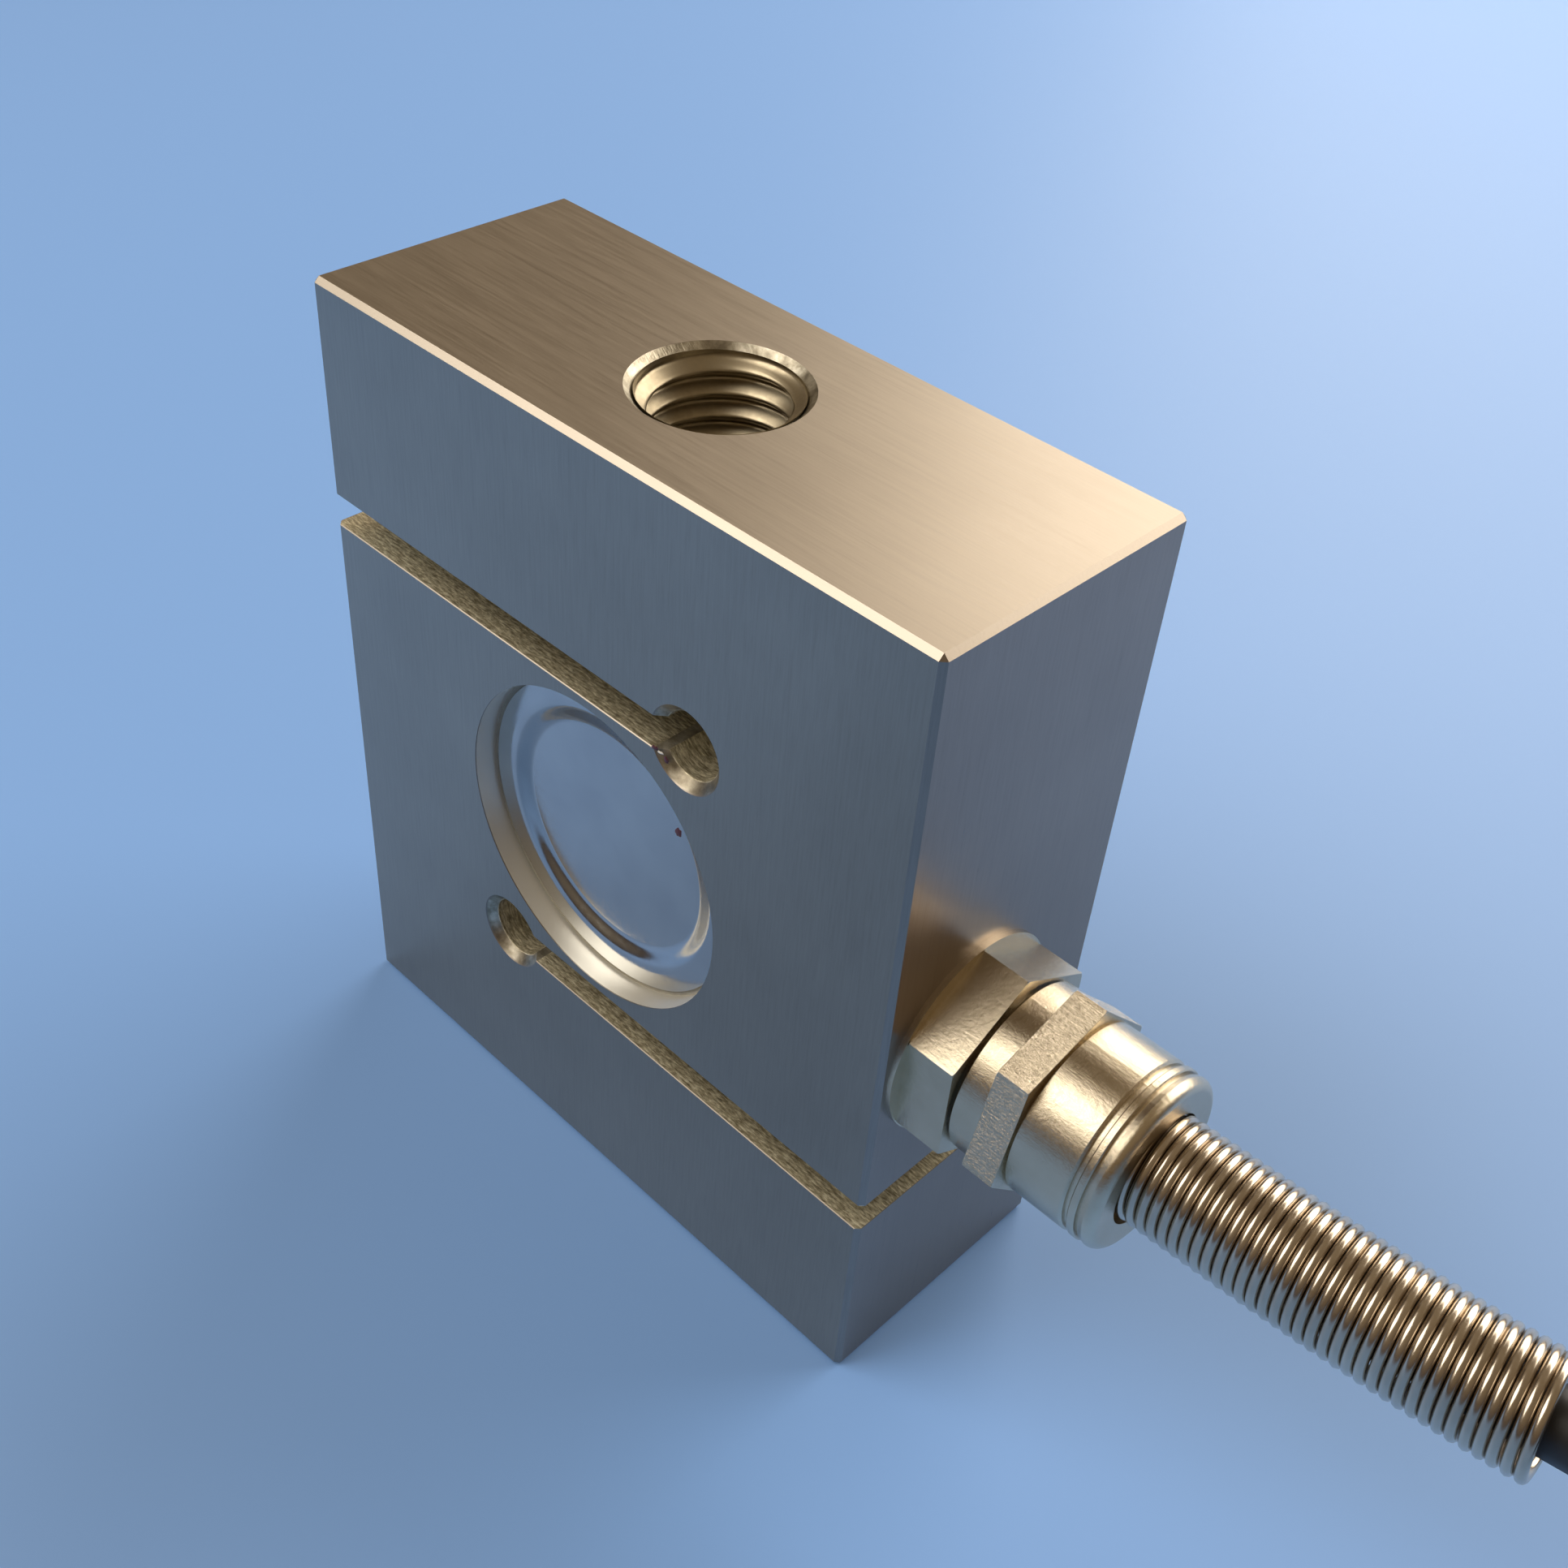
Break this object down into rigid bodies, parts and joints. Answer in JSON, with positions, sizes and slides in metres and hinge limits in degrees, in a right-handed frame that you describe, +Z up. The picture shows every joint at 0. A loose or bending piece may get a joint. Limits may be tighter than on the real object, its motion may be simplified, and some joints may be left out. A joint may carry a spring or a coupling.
{
  "type": "s type load cell",
  "caption": "S type load cell: slotted steel block, M10 load threads, two round gauge covers, cable gland with spring relief, 2 m lead.",
  "frame": {"origin": "centre of the spring element's bottom face, on the load axis", "axes": "+Z up along the load axis, +X out of the cable gland, the front gauge cover faces -Y"},
  "size_m": [0.2175, 0.0377, 0.0595],
  "materials": {
    "steel_body": "brushed nickel-plated steel, satin",
    "cover_steel": "pressed stainless sheet, bright",
    "sealant": "cured dark red sealant",
    "gauge_foil": "polyimide gauge backing",
    "terminal": "copper clad laminate",
    "solder": "solder",
    "enamel_wire": "enamelled copper wire",
    "board": "green laminate",
    "resistor": "black chip",
    "gel": "clear silicone",
    "gland_plating": "polished nickel-plated brass",
    "seal_rubber": "black rubber",
    "spring_wire": "bright spring wire",
    "cable_jacket": "black PVC, satin",
    "tie_plastic": "black nylon",
    "sleeve": "black heat-shrink",
    "lead_red": "red insulation",
    "lead_black": "black insulation",
    "lead_green": "green insulation",
    "lead_white": "white insulation",
    "lead_shield": "yellow-green insulation"
  },
  "bodies": {
    "root": {"board": "board", "cable_hank": "cable_jacket", "cable_lead": "cable_jacket", "cable_tail": "cable_jacket", "core_black": "lead_black", "core_green": "lead_green", "core_red": "lead_red", "core_white": "lead_white", "end_sleeve": "sleeve", "front_bridge_wires": "enamel_wire", "front_cover": "cover_steel", "front_gauge_left": "gauge_foil", "front_gauge_right": "gauge_foil", "front_gel": "gel", "front_sealant": "sealant", "front_solder": "solder", "front_terminal": "terminal", "gland_body": "gland_plating", "gland_nut": "gland_plating", "gland_o_ring": "seal_rubber", "gland_seal": "seal_rubber", "gland_washer": "gland_plating", "hank_tie_1": "tie_plastic", "hank_tie_2": "tie_plastic", "lead_black": "lead_black", "lead_green": "lead_green", "lead_red": "lead_red", "lead_shield": "lead_shield", "lead_white": "lead_white", "pass_wires": "enamel_wire", "rear_bridge_wires": "enamel_wire", "rear_cover": "cover_steel", "rear_gauge_left": "gauge_foil", "rear_gauge_right": "gauge_foil", "rear_gel": "gel", "rear_sealant": "sealant", "rear_solder": "solder", "rear_terminal": "terminal", "relief_spring": "spring_wire", "resistors": "resistor", "spring_element": "steel_body"}
  },
  "joints": []
}
